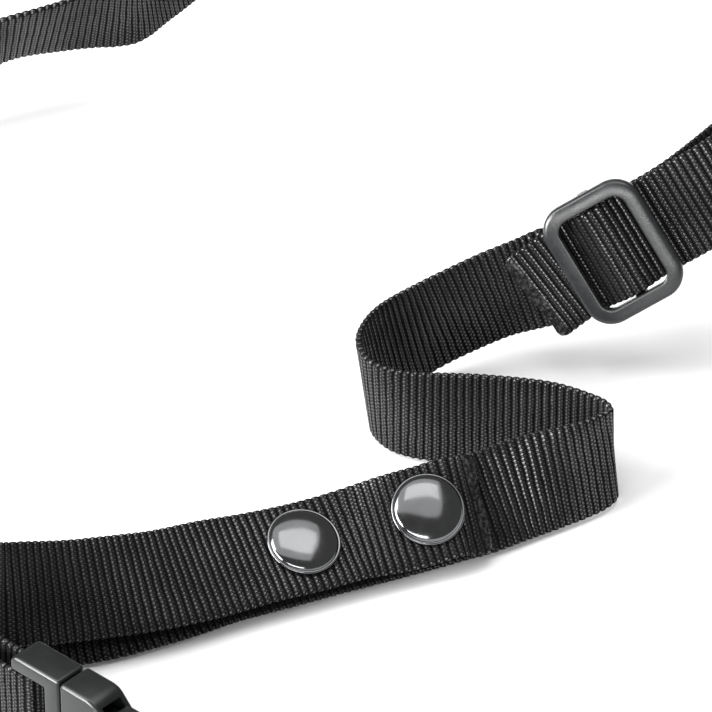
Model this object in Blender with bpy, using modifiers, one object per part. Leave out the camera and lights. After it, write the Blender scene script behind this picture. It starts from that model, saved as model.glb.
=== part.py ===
"""Binocular harness strap: 20 mm webbing with two lug ends, a quick-release buckle and a snapped fold on each side.

The strap lies on a flat surface, z = 0, mostly standing on its edge. All sizes below are millimetres, and MM turns
them into Blender's metres. The layout's own origin is a point on the floor inside the strap's S-bend; the empty
"harness_frame" moves everything so that the origin is at the bottom centre of the whole strap's box.
"""

import math

import bmesh
import bpy
import numpy as np
from mathutils import Matrix, Vector

MM = 0.001
LAYOUT_SHIFT = (55.045, 3.936, 0.129)

# Driving dimensions
WEB_WIDTH = 20.0
WEB_THICK = 1.4
GAP = 0.35  # running clearance between pieces that touch on the real strap
BAR_RADIUS = 1.55  # round bars that the webbing turns on
WRAP_RADIUS = BAR_RADIUS + GAP + WEB_THICK / 2
STATION_STEP = 5.5
STATION_TURN = math.radians(24)

TRIGLIDE_OUTER = (21.6, 26.8)  # along the webbing, across it
TRIGLIDE_WINDOW = (15.0, 20.8)
TRIGLIDE_THICK = 2.6
TRIGLIDE_RAISE = 0.5  # lets the frame rock a little on its middle bar before it meets the webbing
TRIGLIDE_CORNER = 5.6
TRIGLIDE_WINDOW_CORNER = 2.6
TRIGLIDE_BAR = (2.6, -4.2, -2.2)  # middle bar: width along the webbing, low face, high face

CAP_RADIUS = 7.25
CAP_GAP = 0.45  # under the cap's rim, because the webbing twists a little below it
SHANK_RADIUS = 1.1  # rivet shanks that hold a snap's halves through the webbing
SNAP_ABOVE = 0.6  # the snaps sit this much above the webbing's middle

BUCKLE_HALF_WIDTH = 13.8
BUCKLE_Z = 13.8  # the buckles stand on their side edges
PLUG_THICK = 7.0
PLUG_REAR = -12.6
PLUG_BAR_X = -10.8
SOCKET_THICK = 7.6
SOCKET_END = 33.6
SOCKET_BAR_X = 31.8
BAR_HALF_SPAN = 10.5
CHANNEL_HALF = 12.4
CHANNEL_THICK = 4.7
TONGUE = (16.5, 3.0, 1.8)  # reach past the seam, half width, half thickness
PRONG_THICK = 3.8
PRONG_PIVOT = (1.0, 8.4)

PLY_PITCH = 1.8  # between the middles of two plies that lie on each other
TAIL_SETTLE = 10.0  # length over which a sewn tail closes up on the webbing
SEWN_TAIL = 26.0
CREASE_GAP = 0.7  # where the flap hinges on the fold behind it
TURNED_STEPS = 28

UP = (0.0, 0.0, 1.0)

# The webbing's route: x, y, z of its middle, then the direction across it, then how far the folded-back ply lies
# from it: off its face and along its width. Each list runs from the plug's bar to the slide.
RIGHT_ROUTE = [
    (-73.2, -123.3, 13.6, -0.05, 0.00, 1.00, 5.3, 0.5),
    (-78.6, -115.0, 12.3, -0.20, 0.00, 0.98, 5.5, 1.5),
    (-79.2, -106.0, 10.6, -0.40, 0.10, 0.91, 5.5, 3.5),
    (-74.6, -101.0, 9.4, -0.35, 0.45, 0.82, 5.0, 5.0),
    (-66.7, -99.8, 8.3, -0.08, 0.63, 0.77, 4.5, 5.2),
    (-56.2, -96.4, 7.5, -0.12, 0.71, 0.69, 4.0, 4.0),
    (-47.0, -92.9, 6.8, -0.16, 0.77, 0.62, 3.8, 3.2),
    (-37.4, -88.0, 6.3, -0.20, 0.81, 0.56, 3.6, 1.8),
    (-27.4, -82.0, 5.7, -0.24, 0.83, 0.50, 3.6, 0.6),
    (-18.8, -78.0, 5.1, -0.28, 0.87, 0.41, 3.6, 0.3),
    (-10.6, -74.2, 4.8, -0.29, 0.87, 0.40, 3.6, 0.0),
    (-0.4, -69.9, 5.2, -0.29, 0.85, 0.43, 3.6, 0.0),
    (8.6, -66.7, 6.4, -0.30, 0.76, 0.57, 3.6, 0.0),
    (13.4, -64.9, 6.8, -0.30, 0.75, 0.59, 3.6, 0.0),
    (18.2, -63.2, 7.3, -0.30, 0.74, 0.60, 3.6, 0.0),
    (24.1, -61.2, 8.0, -0.30, 0.60, 0.74, 1.8, 0.0),
    (31.8, -57.8, 8.9, -0.30, 0.46, 0.84, 1.8, 0.0),
    (38.2, -55.3, 9.5, -0.26, 0.34, 0.90, 1.8, 0.0),
    (43.8, -53.0, 9.9, -0.20, 0.22, 0.95, 1.8, 0.0),
    (47.6, -50.6, 10.1, -0.13, 0.17, 0.98, 1.8, 0.0),
    (49.8, -47.7, 10.2, -0.07, 0.15, 0.99, 1.8, 0.0),
    (48.7, -44.5, 10.2, -0.04, 0.08, 1.00, 1.8, 0.0),
    (45.3, -41.3, 10.2, -0.01, 0.00, 1.00, 1.8, 0.0),
    (39.9, -38.4, 10.2, 0.00, 0.00, 1.00, 1.8, 0.0),
    (32.1, -36.4, 10.2, 0.00, 0.02, 1.00, 1.8, 0.0),
    (24.4, -35.7, 10.2, -0.01, 0.07, 1.00, 1.8, 0.0),
    (16.6, -35.6, 10.2, -0.02, 0.10, 1.00, 1.8, 0.0),
    (11.0, -34.7, 10.2, -0.03, 0.06, 1.00, 1.8, 0.0),
    (6.4, -32.6, 10.2, -0.07, 0.01, 1.00, 1.8, 0.0),
    (3.5, -29.5, 10.2, -0.11, 0.00, 0.99, 1.8, 0.0),
    (2.1, -25.3, 10.2, -0.14, 0.09, 0.99, 1.8, 0.0),
    (3.8, -17.1, 10.1, -0.22, 0.12, 0.97, 1.8, 0.0),
    (8.7, -9.6, 10.0, -0.29, 0.11, 0.95, 1.8, 0.0),
    (13.9, -5.5, 10.9, -0.30, 0.07, 0.95, 1.8, 0.0),
    (21.3, -2.6, 13.3, -0.32, 0.04, 0.95, 1.8, 0.0),
    (28.9, -0.6, 15.9, -0.33, 0.10, 0.94, 1.8, 0.0),
    (35.8, -0.2, 18.3, -0.39, 0.24, 0.89, 1.8, 0.0),
]
LEFT_ROUTE = [
    (-197.8, 8.0, 13.0, -0.05, 0.00, 1.00, 5.0, 0.5),
    (-193.0, 25.0, 11.5, -0.15, 0.05, 0.99, 4.6, 1.0),
    (-184.0, 40.0, 10.6, -0.22, 0.18, 0.96, 4.2, 1.0),
    (-170.0, 51.0, 9.9, -0.20, 0.32, 0.93, 3.8, 0.6),
    (-157.0, 57.6, 9.6, -0.18, 0.40, 0.90, 3.6, 0.0),
    (-145.0, 62.2, 9.5, -0.18, 0.42, 0.89, 3.6, 0.0),
    (-132.0, 66.6, 9.6, -0.17, 0.40, 0.90, 3.6, 0.0),
    (-123.6, 69.1, 9.8, -0.17, 0.40, 0.90, 3.6, 0.0),
    (-119.0, 70.5, 9.8, -0.17, 0.40, 0.90, 3.6, 0.0),
    (-114.4, 72.0, 10.0, -0.17, 0.39, 0.90, 3.6, 0.0),
    (-108.0, 74.0, 10.4, -0.14, 0.32, 0.94, 1.8, 0.0),
    (-94.0, 79.6, 14.0, -0.07, -0.12, 0.99, 1.8, 0.0),
    (-76.4, 88.6, 19.6, 0.00, -0.53, 0.85, 1.8, 0.0),
    (-59.5, 95.8, 20.4, 0.00, -0.43, 0.90, 1.8, 0.0),
    (-48.4, 102.2, 20.4, -0.15, -0.20, 0.97, 1.8, 0.0),
    (-42.4, 112.0, 20.6, -0.18, 0.02, 0.98, 1.8, 0.0),
    (-35.5, 123.0, 21.0, -0.20, 0.10, 0.97, 1.8, 0.0),
    (-26.5, 137.5, 20.8, -0.22, 0.02, 0.97, 1.8, 0.0),
    (-14.6, 151.0, 20.4, -0.25, -0.06, 0.97, 1.8, 0.0),
]
# The neck webbing between the two sockets: x, y, z and the direction across it.
NECK_ROUTE = [
    (-15.5, -174.0, 13.0, 0.00, 0.00, 1.00),
    (-13.5, -184.0, 11.6, 0.05, 0.03, 1.00),
    (-20.5, -194.5, 10.7, 0.08, 0.12, 0.99),
    (-42.0, -202.5, 10.2, 0.05, 0.20, 0.98),
    (-84.0, -205.5, 9.9, 0.02, 0.26, 0.97),
    (-130.0, -196.0, 9.8, 0.10, 0.26, 0.96),
    (-168.0, -170.0, 9.8, 0.20, 0.18, 0.96),
    (-191.0, -133.0, 10.1, 0.22, 0.08, 0.97),
    (-199.0, -96.0, 11.4, 0.12, 0.00, 0.99),
    (-199.3, -76.0, 13.4, 0.04, 0.00, 1.00),
]

# Where each side's hardware is: the middle of the seam between plug and socket, and the middle of the triglide.
# hinge, snaps and hem are places in the route, and drift is how far the webbing has moved across its width there:
# where it comes to the triglide, and at its loose end.
RIGHT_SIDE = {
    "name": "right", "route": RIGHT_ROUTE, "hinge": 7, "snaps": (10, 13), "hem": 15, "drift": (0.8, -1.2),
    "seam": (-51.3, -139.8), "buckle_axis": (0.743, -0.669, 0.0),
    "triglide": (51.4, -3.0, 27.6), "along": (0.85, 0.08, 0.52), "across": (-0.53, 0.32, 0.79),
}
LEFT_SIDE = {
    "name": "left", "route": LEFT_ROUTE, "hinge": 3, "snaps": (5, 8), "hem": 10, "drift": (0.0, -0.6),
    "seam": (-196.5, -22.8), "buckle_axis": (0.0, -1.0, 0.0),
    "triglide": (6.5, 163.5, 27.6), "along": (0.73, 0.62, 0.28), "across": (-0.26, -0.10, 0.96),
}

# The lug end in the triglide's own frame: along the webbing and off the triglide's face. The webbing passes under
# the first bar, over the middle bar and under the last one, round the lug's eye, and back the same way on top.
LUG_LOWER = [(-13.0, -4.2), (-9.0, -4.2), (-6.4, -3.85), (-4.2, -2.8), (-1.6, -1.35), (0.0, -1.2), (1.6, -1.35),
             (4.2, -2.8), (6.4, -3.85), (9.0, -4.2), (13.0, -4.3), (18.0, -5.9), (22.8, -10.4), (27.2, -15.5)]
LUG_UPPER = [(33.4, -8.3), (27.5, -4.6), (20.0, -2.9), (13.0, -2.4), (9.0, -2.35), (6.4, -1.95), (4.2, -0.85),
             (1.6, 0.45), (0.0, 0.6), (-1.6, 0.45), (-4.2, -0.85), (-6.4, -1.95), (-9.0, -2.35), (-13.0, -2.35),
             (-19.8, -2.35)]
LUG_SEAT = (36.0, -17.0)  # middle of the eye's flat end
LUG_SEAT_HALF = 2.0
LUG_CORNER = 2.8
LUG_HEADING = math.radians(-42)


def unit(vector):
    vector = np.array(vector, float)
    return vector / np.linalg.norm(vector)


def frame(origin, along, across):
    """A matrix whose X is along, whose Y is across and whose Z is normal to both."""
    x = unit(along)
    y = unit(np.array(across) - x * (x @ np.array(across)))
    matrix = Matrix.Identity(4)
    for column, vector in enumerate((x, y, np.cross(x, y), np.array(origin))):
        for row in range(3):
            matrix[row][column] = float(vector[row])
    return matrix


def buckle_frame(side):
    return frame((*side["seam"], BUCKLE_Z), side["buckle_axis"], UP)


# ---- Routes ----------------------------------------------------------------------------------------------------


def smooth(rows):
    """A smooth curve through the rows, close where it bends, and the index of each row in it."""
    rows = np.array(rows, float)
    steps = np.linalg.norm(np.diff(rows[:, :3], axis=0), axis=1)
    along = np.concatenate([[0], np.cumsum(steps)])
    slopes = np.gradient(rows, along, axis=0)
    stations, marks = [], []
    for i, length in enumerate(steps):
        heading, next_heading = unit(slopes[i, :3]), unit(slopes[i + 1, :3])
        turn = math.acos(min(1.0, heading @ next_heading))
        count = max(math.ceil(length / STATION_STEP), math.ceil(turn / STATION_TURN))
        marks.append(len(stations))
        for u in np.arange(count) / count:
            stations.append(
                rows[i] * (1 + 2 * u) * (1 - u) ** 2
                + rows[i + 1] * u * u * (3 - 2 * u)
                + slopes[i] * length * u * (1 - u) ** 2
                - slopes[i + 1] * length * u * u * (1 - u)
            )
    marks.append(len(stations))
    stations.append(rows[-1])
    return np.array(stations), marks


def directions(stations):
    """The heading, the direction across the webbing and the normal at each station."""
    heading = np.gradient(stations[:, :3], axis=0)
    heading /= np.linalg.norm(heading, axis=1)[:, None]
    across = stations[:, 3:6] - heading * (stations[:, 3:6] * heading).sum(axis=1)[:, None]
    across /= np.linalg.norm(across, axis=1)[:, None]
    return heading, across, np.cross(heading, across)


def beside(stations, gap, slip):
    """The stations of a second ply, off the first one's face by gap and along its width by slip."""
    _, across, normal = directions(stations)
    ply = np.hstack([stations[:, :3] + normal * gap[:, None] + across * slip[:, None], across])
    return ply


def wrap(bar, start_side, slot_side):
    """Stations round a bar, from its start side through its slot side, without the two ends."""
    angles = np.radians([30, 60, 90, 120, 150])
    points = [bar + WRAP_RADIUS * (start_side * math.cos(a) + slot_side * math.sin(a)) for a in angles]
    return np.array([(*point, *UP) for point in points])


def lug_rows(side):
    """The route's rows through the triglide, round the lug's eye and back to the loose end."""
    place = frame(side["triglide"], side["along"], side["across"])
    across = np.array(place.col[1][:3])
    ahead = np.array([math.cos(LUG_HEADING), math.sin(LUG_HEADING)])
    upward = np.array([-ahead[1], ahead[0]])
    eye = []
    for sign in (-1, 1):
        corner = np.array(LUG_SEAT) - LUG_CORNER * ahead + sign * LUG_SEAT_HALF * upward
        turned = [
            corner + LUG_CORNER * (sign * upward * math.cos(a) + ahead * math.sin(a))
            for a in np.radians([0, 30, 60, 90])
        ]
        eye += turned if sign < 0 else turned[::-1]
    path = [*LUG_LOWER, *eye, *LUG_UPPER]
    drifts = np.zeros(len(path))
    drifts[0], drifts[-1], drifts[-2] = side["drift"][0], side["drift"][1], side["drift"][1] / 3
    rows = []
    for (t, n), drift in zip(path, drifts):
        point = place @ Vector((t, drift, n))
        rows.append((*point, *across, 1.8, 0.0))
    return rows


def side_route(side):
    """The stations of one side's webbing, and those of its folded-back flap."""
    place = buckle_frame(side)
    axis, face = np.array(place.col[0][:3]), np.array(place.col[2][:3])
    bar = np.array(place @ Vector((PLUG_BAR_X, 0, 0)))
    start = bar + WRAP_RADIUS * face
    first = [(*start, *UP, 2 * WRAP_RADIUS, 0.0), (*(start - 7 * axis), *UP, 2 * WRAP_RADIUS, 0.0)]
    stations, marks = smooth(first + side["route"] + lug_rows(side))
    hinge, hem = marks[side["hinge"] + 2], marks[side["hem"] + 2]
    fold = beside(stations[: hem + 1], stations[: hem + 1, 6], stations[: hem + 1, 7])
    web = np.vstack([fold[hinge::-1], wrap(bar, -face, axis), stations[:, :6]])
    flap = fold[hinge:].copy()
    flap[0, :3] += CREASE_GAP * unit(flap[1, :3] - flap[0, :3])
    snaps = [marks[place + 2] for place in side["snaps"]]
    return stations, fold, web, flap, hinge, snaps


def neck_route():
    """The stations of the neck webbing, with both of its sewn-back ends."""
    right, left = buckle_frame(RIGHT_SIDE), buckle_frame(LEFT_SIDE)
    right_axis, right_face = np.array(right.col[0][:3]), np.array(right.col[2][:3])
    left_axis, left_face = np.array(left.col[0][:3]), np.array(left.col[2][:3])
    right_bar = np.array(right @ Vector((SOCKET_BAR_X, 0, 0)))
    left_bar = np.array(left @ Vector((SOCKET_BAR_X, 0, 0)))
    start = right_bar - WRAP_RADIUS * right_face
    end = left_bar + WRAP_RADIUS * left_face
    rows = [(*start, *UP), (*(start + 8 * right_axis), *UP), *NECK_ROUTE]
    rows += [(*(end + 8 * left_axis), *UP), (*end, *UP)]
    stations, _ = smooth(rows)
    steps = np.linalg.norm(np.diff(stations[:, :3], axis=0), axis=1)
    along = np.concatenate([[0], np.cumsum(steps)])
    from_end = np.minimum(along, along[-1] - along)
    near = np.clip(1 - from_end / TAIL_SETTLE, 0, 1)
    gap = PLY_PITCH + (2 * WRAP_RADIUS - PLY_PITCH) * near * near * (3 - 2 * near)
    ply = beside(stations, gap, np.zeros(len(gap)))
    right_tail = ply[along <= SEWN_TAIL][::-1]
    left_tail = ply[along >= along[-1] - SEWN_TAIL][::-1]
    return np.vstack([
        right_tail, wrap(right_bar, right_face, -right_axis), stations,
        wrap(left_bar, left_face, -left_axis), left_tail,
    ])


# ---- Shapes ----------------------------------------------------------------------------------------------------


def material(name, color, roughness, metallic=0.0):
    made = bpy.data.materials.new(name)
    made.use_nodes = True
    shader = made.node_tree.nodes["Principled BSDF"]
    shader.inputs["Base Color"].default_value = (*color, 1.0)
    shader.inputs["Roughness"].default_value = roughness
    shader.inputs["Metallic"].default_value = metallic
    return made


def new_object(name, mesh, look, place=None):
    """A part in the harness's collection, at its place in the layout."""
    made = bpy.data.objects.new(name, mesh)
    if look:
        mesh.materials.append(look)
    parts.objects.link(made)
    made.parent = harness
    if place is not None:
        made.matrix_local = in_metres(place)
    return made


def in_metres(place):
    place = place.copy()
    place.translation *= MM
    return place


def as_cutter(made):
    parts.objects.unlink(made)
    cutters.objects.link(made)
    made.hide_render = True
    made.display_type = "WIRE"
    return made


def combine(target, other, operation):
    """Cuts another object from the target, or joins it on, and keeps that object as a hidden cutter."""
    as_cutter(other)
    modifier = target.modifiers.new(other.name, "BOOLEAN")
    modifier.object = other
    modifier.operation = operation
    modifier.solver = "EXACT"


def bevel(made, width, segments=2):
    modifier = made.modifiers.new("rounded_edges", "BEVEL")
    modifier.width = width * MM
    modifier.segments = segments
    modifier.limit_method = "ANGLE"
    modifier.angle_limit = math.radians(40)


def shade_round(mesh):
    mesh.shade_smooth()
    mesh.set_sharp_from_angle(angle=math.radians(40))


def webbing(name, stations, look, pivot=None):
    """A ribbon through the stations, solid by its thickness, with its origin at the pivot."""
    origin = Vector((0, 0, 0)) if pivot is None else pivot.translation
    _, across, _ = directions(stations)
    edges = [stations[:, :3] + sign * WEB_WIDTH / 2 * across for sign in (-1, 1)]
    shape = bmesh.new()
    lines = [[shape.verts.new((Vector(point) - origin) * MM) for point in edge] for edge in edges]
    for i in range(len(stations) - 1):
        shape.faces.new((lines[0][i], lines[0][i + 1], lines[1][i + 1], lines[1][i]))
    mesh = bpy.data.meshes.new(name)
    shape.to_mesh(mesh)
    shape.free()
    shade_round(mesh)
    made = new_object(name, mesh, look, Matrix.Translation(origin))
    solid = made.modifiers.new("thickness", "SOLIDIFY")
    solid.thickness = WEB_THICK * MM
    solid.offset = 0
    solid.use_even_offset = True
    return made


def plate(name, outlines, thickness, look, place, z=0.0):
    """A flat outline, with its holes, given its thickness. The outlines are in the X and Y of its place."""
    curve = bpy.data.curves.new(name, "CURVE")
    curve.dimensions = "2D"
    curve.fill_mode = "BOTH"
    curve.extrude = thickness / 2 * MM
    for outline in outlines:
        spline = curve.splines.new("POLY")
        spline.points.add(len(outline) - 1)
        for point, (x, y) in zip(spline.points, outline):
            point.co = (x * MM, y * MM, 0, 1)
        spline.use_cyclic_u = True
    guide = bpy.data.objects.new(name + "_outline", curve)
    parts.objects.link(guide)
    graph = bpy.context.evaluated_depsgraph_get()
    mesh = bpy.data.meshes.new_from_object(guide.evaluated_get(graph))
    bpy.data.objects.remove(guide)
    shape = bmesh.new()
    shape.from_mesh(mesh)
    bmesh.ops.remove_doubles(shape, verts=shape.verts, dist=1e-6)
    bmesh.ops.recalc_face_normals(shape, faces=shape.faces)
    bmesh.ops.translate(shape, verts=shape.verts, vec=(0, 0, z * MM))
    shape.to_mesh(mesh)
    shape.free()
    mesh.name = name
    shade_round(mesh)
    return new_object(name, mesh, look, place)


def box(name, low, high, place):
    bpy.ops.mesh.primitive_cube_add(size=1)
    made = bpy.context.active_object
    for collection in made.users_collection:
        collection.objects.unlink(made)
    parts.objects.link(made)
    made.name = name
    made.parent = harness
    low, high = Vector(low) * MM, Vector(high) * MM
    made.data.transform(Matrix.Translation((low + high) / 2) @ Matrix.Diagonal((*(high - low), 1)))
    made.matrix_local = in_metres(place)
    return made


def rod(name, radius, length, place, sides=20):
    """A cylinder along its place's Z, middle on its origin."""
    bpy.ops.mesh.primitive_cylinder_add(vertices=sides, radius=radius * MM, depth=length * MM)
    made = bpy.context.active_object
    for collection in made.users_collection:
        collection.objects.unlink(made)
    parts.objects.link(made)
    made.name = name
    made.parent = harness
    made.matrix_local = in_metres(place)
    return made


def turned(name, profile, look, place, closed=False):
    """A profile of radius and height turned round its place's Z."""
    mesh = bpy.data.meshes.new(name)
    points = [(radius * MM, 0, height * MM) for radius, height in profile]
    edges = [(i, i + 1) for i in range(len(points) - 1)]
    if closed:
        edges.append((len(points) - 1, 0))
    mesh.from_pydata(points, edges, [])
    made = new_object(name, mesh, look, place)
    screw = made.modifiers.new("turned", "SCREW")
    screw.steps = TURNED_STEPS
    screw.render_steps = TURNED_STEPS
    screw.use_merge_vertices = True
    screw.merge_threshold = 1e-5
    return made


def rounded_rectangle(length, width, corner, steps=5):
    """A rectangle centred on the origin, anticlockwise, with round corners."""
    points = []
    for quarter, (sx, sy) in enumerate(((1, 1), (-1, 1), (-1, -1), (1, -1))):
        cx, cy = sx * (length / 2 - corner), sy * (width / 2 - corner)
        for step in range(steps + 1):
            angle = math.radians(90 * (quarter + step / steps))
            points.append((cx + corner * math.cos(angle), cy + corner * math.sin(angle)))
    return points


def mirrored(half):
    """A closed outline from its half at positive Y."""
    return half + [(x, -y) for x, y in reversed(half)]


# ---- Parts -----------------------------------------------------------------------------------------------------


def triglide(side):
    """The ladder-lock frame: two cross bars in one plane, and a middle bar set back behind them."""
    place = frame(side["triglide"], side["along"], side["across"])
    bar_half, bar_low, bar_high = TRIGLIDE_BAR[0] / 2, *TRIGLIDE_BAR[1:]
    axle = place @ Matrix.Translation((0, 0, (bar_low + bar_high) / 2))
    lift = -(bar_low + bar_high) / 2
    ring_z = lift + TRIGLIDE_RAISE
    outlines = [
        rounded_rectangle(*TRIGLIDE_OUTER, TRIGLIDE_CORNER),
        rounded_rectangle(*TRIGLIDE_WINDOW, TRIGLIDE_WINDOW_CORNER),
    ]
    name = side["name"] + "_triglide"
    ring = plate(name, outlines, TRIGLIDE_THICK, looks["triglide"], axle, ring_z)
    bevel(ring, 0.45)
    inner, outer = TRIGLIDE_WINDOW[1] / 2, TRIGLIDE_OUTER[1] / 2 - 0.4
    inside = ring_z - TRIGLIDE_THICK / 4
    saddle = [
        (outer, inside), (outer, bar_low + lift), (-outer, bar_low + lift), (-outer, inside),
        (-inner, inside), (-inner, bar_high + lift), (inner, bar_high + lift), (inner, inside),
    ]
    upright = axle @ Matrix.Rotation(math.radians(90), 4, "Z") @ Matrix.Rotation(math.radians(90), 4, "X")
    combine(ring, plate(name + "_middle_bar", [saddle], 2 * bar_half, None, upright), "UNION")
    return ring


def snap_place(stations, index):
    heading, across, _ = directions(stations)
    middle = stations[index, :3] + SNAP_ABOVE * across[index]
    return frame(middle, heading[index], across[index])


def snaps(side, stations, fold, web, flap, indices):
    """Two press studs: cap and socket on the flap, stud and post on the ply behind it."""
    half = WEB_THICK / 2
    for label, index in zip(("inner", "outer"), indices):
        name = f"{side['name']}_{label}_snap"
        front, rear = snap_place(fold, index), snap_place(stations, index)
        cap_base = half + CAP_GAP
        turned(
            name + "_cap",
            [(0, 2.05), (2.6, 1.98), (4.8, 1.68), (6.3, 1.12), (7.05, 0.55), (CAP_RADIUS, 0.15), (7.05, 0),
             (SHANK_RADIUS, 0), (SHANK_RADIUS, -1.6), (0, -1.6)],
            looks["snap"], front @ Matrix.Translation((0, 0, cap_base)),
        )
        turned(
            name + "_socket", [(4.7, 0.85), (4.9, 0.65), (4.9, 0), (2.5, 0), (2.5, 0.85)],
            looks["snap_inner"], front @ Matrix.Translation((0, 0, -half - 0.4 - 0.85)), closed=True,
        )
        turned(
            name + "_stud",
            [(0, 1.6), (1.4, 1.55), (1.9, 1.2), (1.75, 0.4), (4.5, 0.4), (4.5, 0), (0, 0)],
            looks["snap_inner"], rear @ Matrix.Translation((0, 0, half + 0.25)),
        )
        turned(
            name + "_post",
            [(0, 1.65), (SHANK_RADIUS, 1.65), (SHANK_RADIUS, 0), (4.5, 0), (4.5, -0.3), (4.1, -0.5), (0, -0.5)],
            looks["snap_inner"], rear @ Matrix.Translation((0, 0, -half - 0.25)),
        )
        combine(web, rod(name + "_rear_hole", SHANK_RADIUS + GAP, 4, rear, 12), "DIFFERENCE")
        combine(flap, rod(name + "_front_hole", SHANK_RADIUS + GAP, 4, front, 12), "DIFFERENCE")


def plug(side):
    """The male half: cheeks, a cross wall and a round bar, with the guide tongue that enters the socket."""
    place = buckle_frame(side)
    name = side["name"] + "_buckle_plug"
    cheek, wall = BAR_HALF_SPAN, -4.2
    half = [
        (wall, cheek), (PLUG_REAR, cheek), (PLUG_REAR, 12.8), (-11.6, BUCKLE_HALF_WIDTH),
        (-GAP / 2, BUCKLE_HALF_WIDTH),
    ]
    body = plate(name, [mirrored(half)], PLUG_THICK, looks["buckle"], place)
    bevel(body, 0.9)
    across_bar = place @ Matrix.Translation((PLUG_BAR_X, 0, 0)) @ Matrix.Rotation(math.radians(90), 4, "X")
    combine(body, rod(name + "_bar", BAR_RADIUS, 2 * cheek + 2, across_bar), "UNION")
    tongue = box(name + "_tongue", (-1.0, -TONGUE[1], -TONGUE[2]), (TONGUE[0], TONGUE[1], TONGUE[2]), place)
    combine(body, tongue, "UNION")


def prongs(side):
    """The plug's two spring arms, each with its squeeze barb, pivoting where the arm meets the plug."""
    outline = [
        (0.3, 7.3), (9.5, 8.0), (14.0, 8.4), (20.0, 6.6), (23.2, 6.2), (24.3, 6.9), (24.2, 7.8), (22.2, 9.4),
        (19.8, 11.5), (16.5, 12.2), (12.8, 12.2), (11.6, 11.7), (11.2, 10.2), (9.5, 9.9), (0.3, 9.5),
    ]
    for label, sign in (("upper", 1), ("lower", -1)):
        place = buckle_frame(side) @ Matrix.Translation((PRONG_PIVOT[0], sign * PRONG_PIVOT[1], 0))
        own = [(x - PRONG_PIVOT[0], sign * (y - PRONG_PIVOT[1])) for x, y in outline]
        arm = plate(f"{side['name']}_{label}_prong", [own], PRONG_THICK, looks["buckle"], place)
        bevel(arm, 0.4, 1)


def socket(side):
    """The female half: a flat sleeve, open at the mouth and at both squeeze windows, with a round webbing bar."""
    place = buckle_frame(side)
    name = side["name"] + "_buckle_socket"
    half = [
        (GAP / 2, BUCKLE_HALF_WIDTH), (7.0, BUCKLE_HALF_WIDTH), (9.2, 12.9), (10.6, 11.4), (11.6, 10.3),
        (20.8, 10.3), (22.2, 11.4), (23.4, 12.9), (32.4, 12.9), (SOCKET_END, 11.8), (SOCKET_END, BAR_HALF_SPAN),
        (26.8, BAR_HALF_SPAN),
    ]
    body = plate(name, [mirrored(half)], SOCKET_THICK, looks["buckle"], place)
    bevel(body, 0.9)
    channel = [(-1.0, CHANNEL_HALF), (22.6, CHANNEL_HALF), (22.6, 9.6), (25.2, 9.6)]
    combine(body, plate(name + "_channel", [mirrored(channel)], CHANNEL_THICK, None, place), "DIFFERENCE")
    across_bar = place @ Matrix.Translation((SOCKET_BAR_X, 0, 0)) @ Matrix.Rotation(math.radians(90), 4, "X")
    combine(body, rod(name + "_bar", BAR_RADIUS, 2 * BAR_HALF_SPAN + 2, across_bar), "UNION")


def harness_side(side):
    stations, fold, web_stations, flap_stations, hinge, snap_indices = side_route(side)
    heading, across, normal = directions(fold)
    crease = fold[hinge, :3] + normal[hinge] * WEB_THICK / 2
    web = webbing(side["name"] + "_lug_webbing", web_stations, looks["webbing"])
    pivot = frame(crease, heading[hinge], across[hinge])
    flap = webbing(side["name"] + "_snap_flap", flap_stations, looks["webbing"], pivot)
    snaps(side, stations, fold, web, flap, snap_indices)
    triglide(side)
    plug(side)
    prongs(side)
    socket(side)


for old in list(bpy.data.objects):
    bpy.data.objects.remove(old)
parts = bpy.data.collections.new("binocular_harness")
cutters = bpy.data.collections.new("binocular_harness_cutters")
for collection in (parts, cutters):
    bpy.context.scene.collection.children.link(collection)
harness = bpy.data.objects.new("harness_frame", None)
harness.location = Vector(LAYOUT_SHIFT) * MM
parts.objects.link(harness)
looks = {
    "webbing": material("webbing", (0.018, 0.018, 0.019), 0.75),
    "triglide": material("triglide", (0.05, 0.052, 0.055), 0.45, 0.3),
    "snap": material("snap_cap", (0.01, 0.01, 0.011), 0.12, 0.2),
    "snap_inner": material("snap_inner", (0.05, 0.05, 0.05), 0.35, 0.8),
    "buckle": material("buckle", (0.03, 0.032, 0.034), 0.4),
}
for one_side in (RIGHT_SIDE, LEFT_SIDE):
    harness_side(one_side)
webbing("neck_webbing", neck_route(), looks["webbing"])
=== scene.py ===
"""The looks of a binocular harness strap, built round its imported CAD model: ribbed webbing, slides, press studs and
quick-release buckles, with a pale studio floor, soft light and the photograph's viewpoint.

The webbing's route is repeated from part.py, in millimetres, because this script reads nothing but the frame.
"""

import math

import bmesh
import bpy
import numpy as np
from mathutils import Matrix, Vector


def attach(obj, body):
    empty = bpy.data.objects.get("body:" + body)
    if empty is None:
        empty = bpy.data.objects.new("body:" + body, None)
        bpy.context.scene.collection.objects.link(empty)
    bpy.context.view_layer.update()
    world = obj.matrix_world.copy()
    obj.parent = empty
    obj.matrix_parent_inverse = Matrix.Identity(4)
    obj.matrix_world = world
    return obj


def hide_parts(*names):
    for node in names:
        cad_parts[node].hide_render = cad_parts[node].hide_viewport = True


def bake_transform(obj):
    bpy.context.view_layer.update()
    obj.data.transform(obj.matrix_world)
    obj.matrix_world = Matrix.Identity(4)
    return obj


MM = 0.001
LAYOUT_SHIFT = (55.045, 3.936, 0.129)  # from the layout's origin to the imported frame's

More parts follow.
